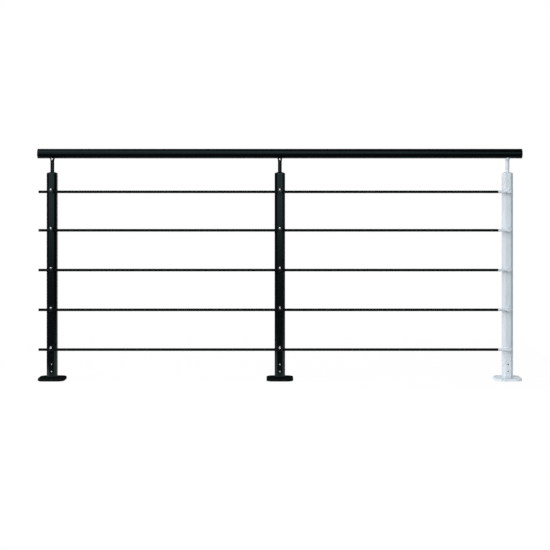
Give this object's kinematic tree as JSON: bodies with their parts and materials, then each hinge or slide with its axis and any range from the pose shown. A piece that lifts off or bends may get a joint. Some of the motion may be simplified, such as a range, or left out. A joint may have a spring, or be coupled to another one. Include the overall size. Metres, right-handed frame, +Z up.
{
  "type": "railing",
  "caption": "Guard railing with a round handrail on pins over bevelled square posts, thin horizontal cross rods in front-mounted holders and square bolt-down base plates.",
  "frame": {"origin": "underside of the middle base plate, on the axis of the middle post", "axes": "+X along the handrail to the pale post, +Y to the back (the rods are in front, at -Y), +Z up"},
  "size_m": [2, 0.11, 0.9535],
  "materials": {
    "black_coat": "satin black powder coat",
    "smooth_black": "smooth black coat of the handrail",
    "matt_black": "matt black coat of the base plates and rods",
    "pale_coat": "satin pale grey powder coat",
    "black_plastic": "fine matt moulded plastic",
    "stainless": "bright stainless steel screw heads"
  },
  "bodies": {
    "root": {"base_plate_left": "matt_black", "base_plate_middle": "matt_black", "base_plate_right": "pale_coat", "cross_rod_1": "matt_black", "cross_rod_2": "matt_black", "cross_rod_3": "matt_black", "cross_rod_4": "matt_black", "cross_rod_5": "matt_black", "handrail_cap_left": "black_plastic", "handrail_cap_right": "black_plastic", "handrail_joiner": "black_coat", "handrail_left": "smooth_black", "handrail_right": "smooth_black", "post_cap_left": "black_coat", "post_cap_middle": "black_coat", "post_cap_right": "pale_coat", "post_left": "black_coat", "post_middle": "black_coat", "post_right": "pale_coat", "rail_pin_left": "black_coat", "rail_pin_middle": "black_coat", "rail_pin_right": "pale_coat", "rail_saddle_left": "black_coat", "rail_saddle_middle": "black_coat", "rail_saddle_right": "pale_coat", "rod_end_1": "pale_coat", "rod_end_2": "pale_coat", "rod_end_3": "pale_coat", "rod_end_4": "pale_coat", "rod_end_5": "pale_coat", "rod_holder_left_1": "black_coat", "rod_holder_left_2": "black_coat", "rod_holder_left_3": "black_coat", "rod_holder_left_4": "black_coat", "rod_holder_left_5": "black_coat", "rod_holder_middle_1": "black_coat", "rod_holder_middle_2": "black_coat", "rod_holder_middle_3": "black_coat", "rod_holder_middle_4": "black_coat", "rod_holder_middle_5": "black_coat", "rod_holder_right_1": "pale_coat", "rod_holder_right_2": "pale_coat", "rod_holder_right_3": "pale_coat", "rod_holder_right_4": "pale_coat", "rod_holder_right_5": "pale_coat"}
  },
  "joints": []
}
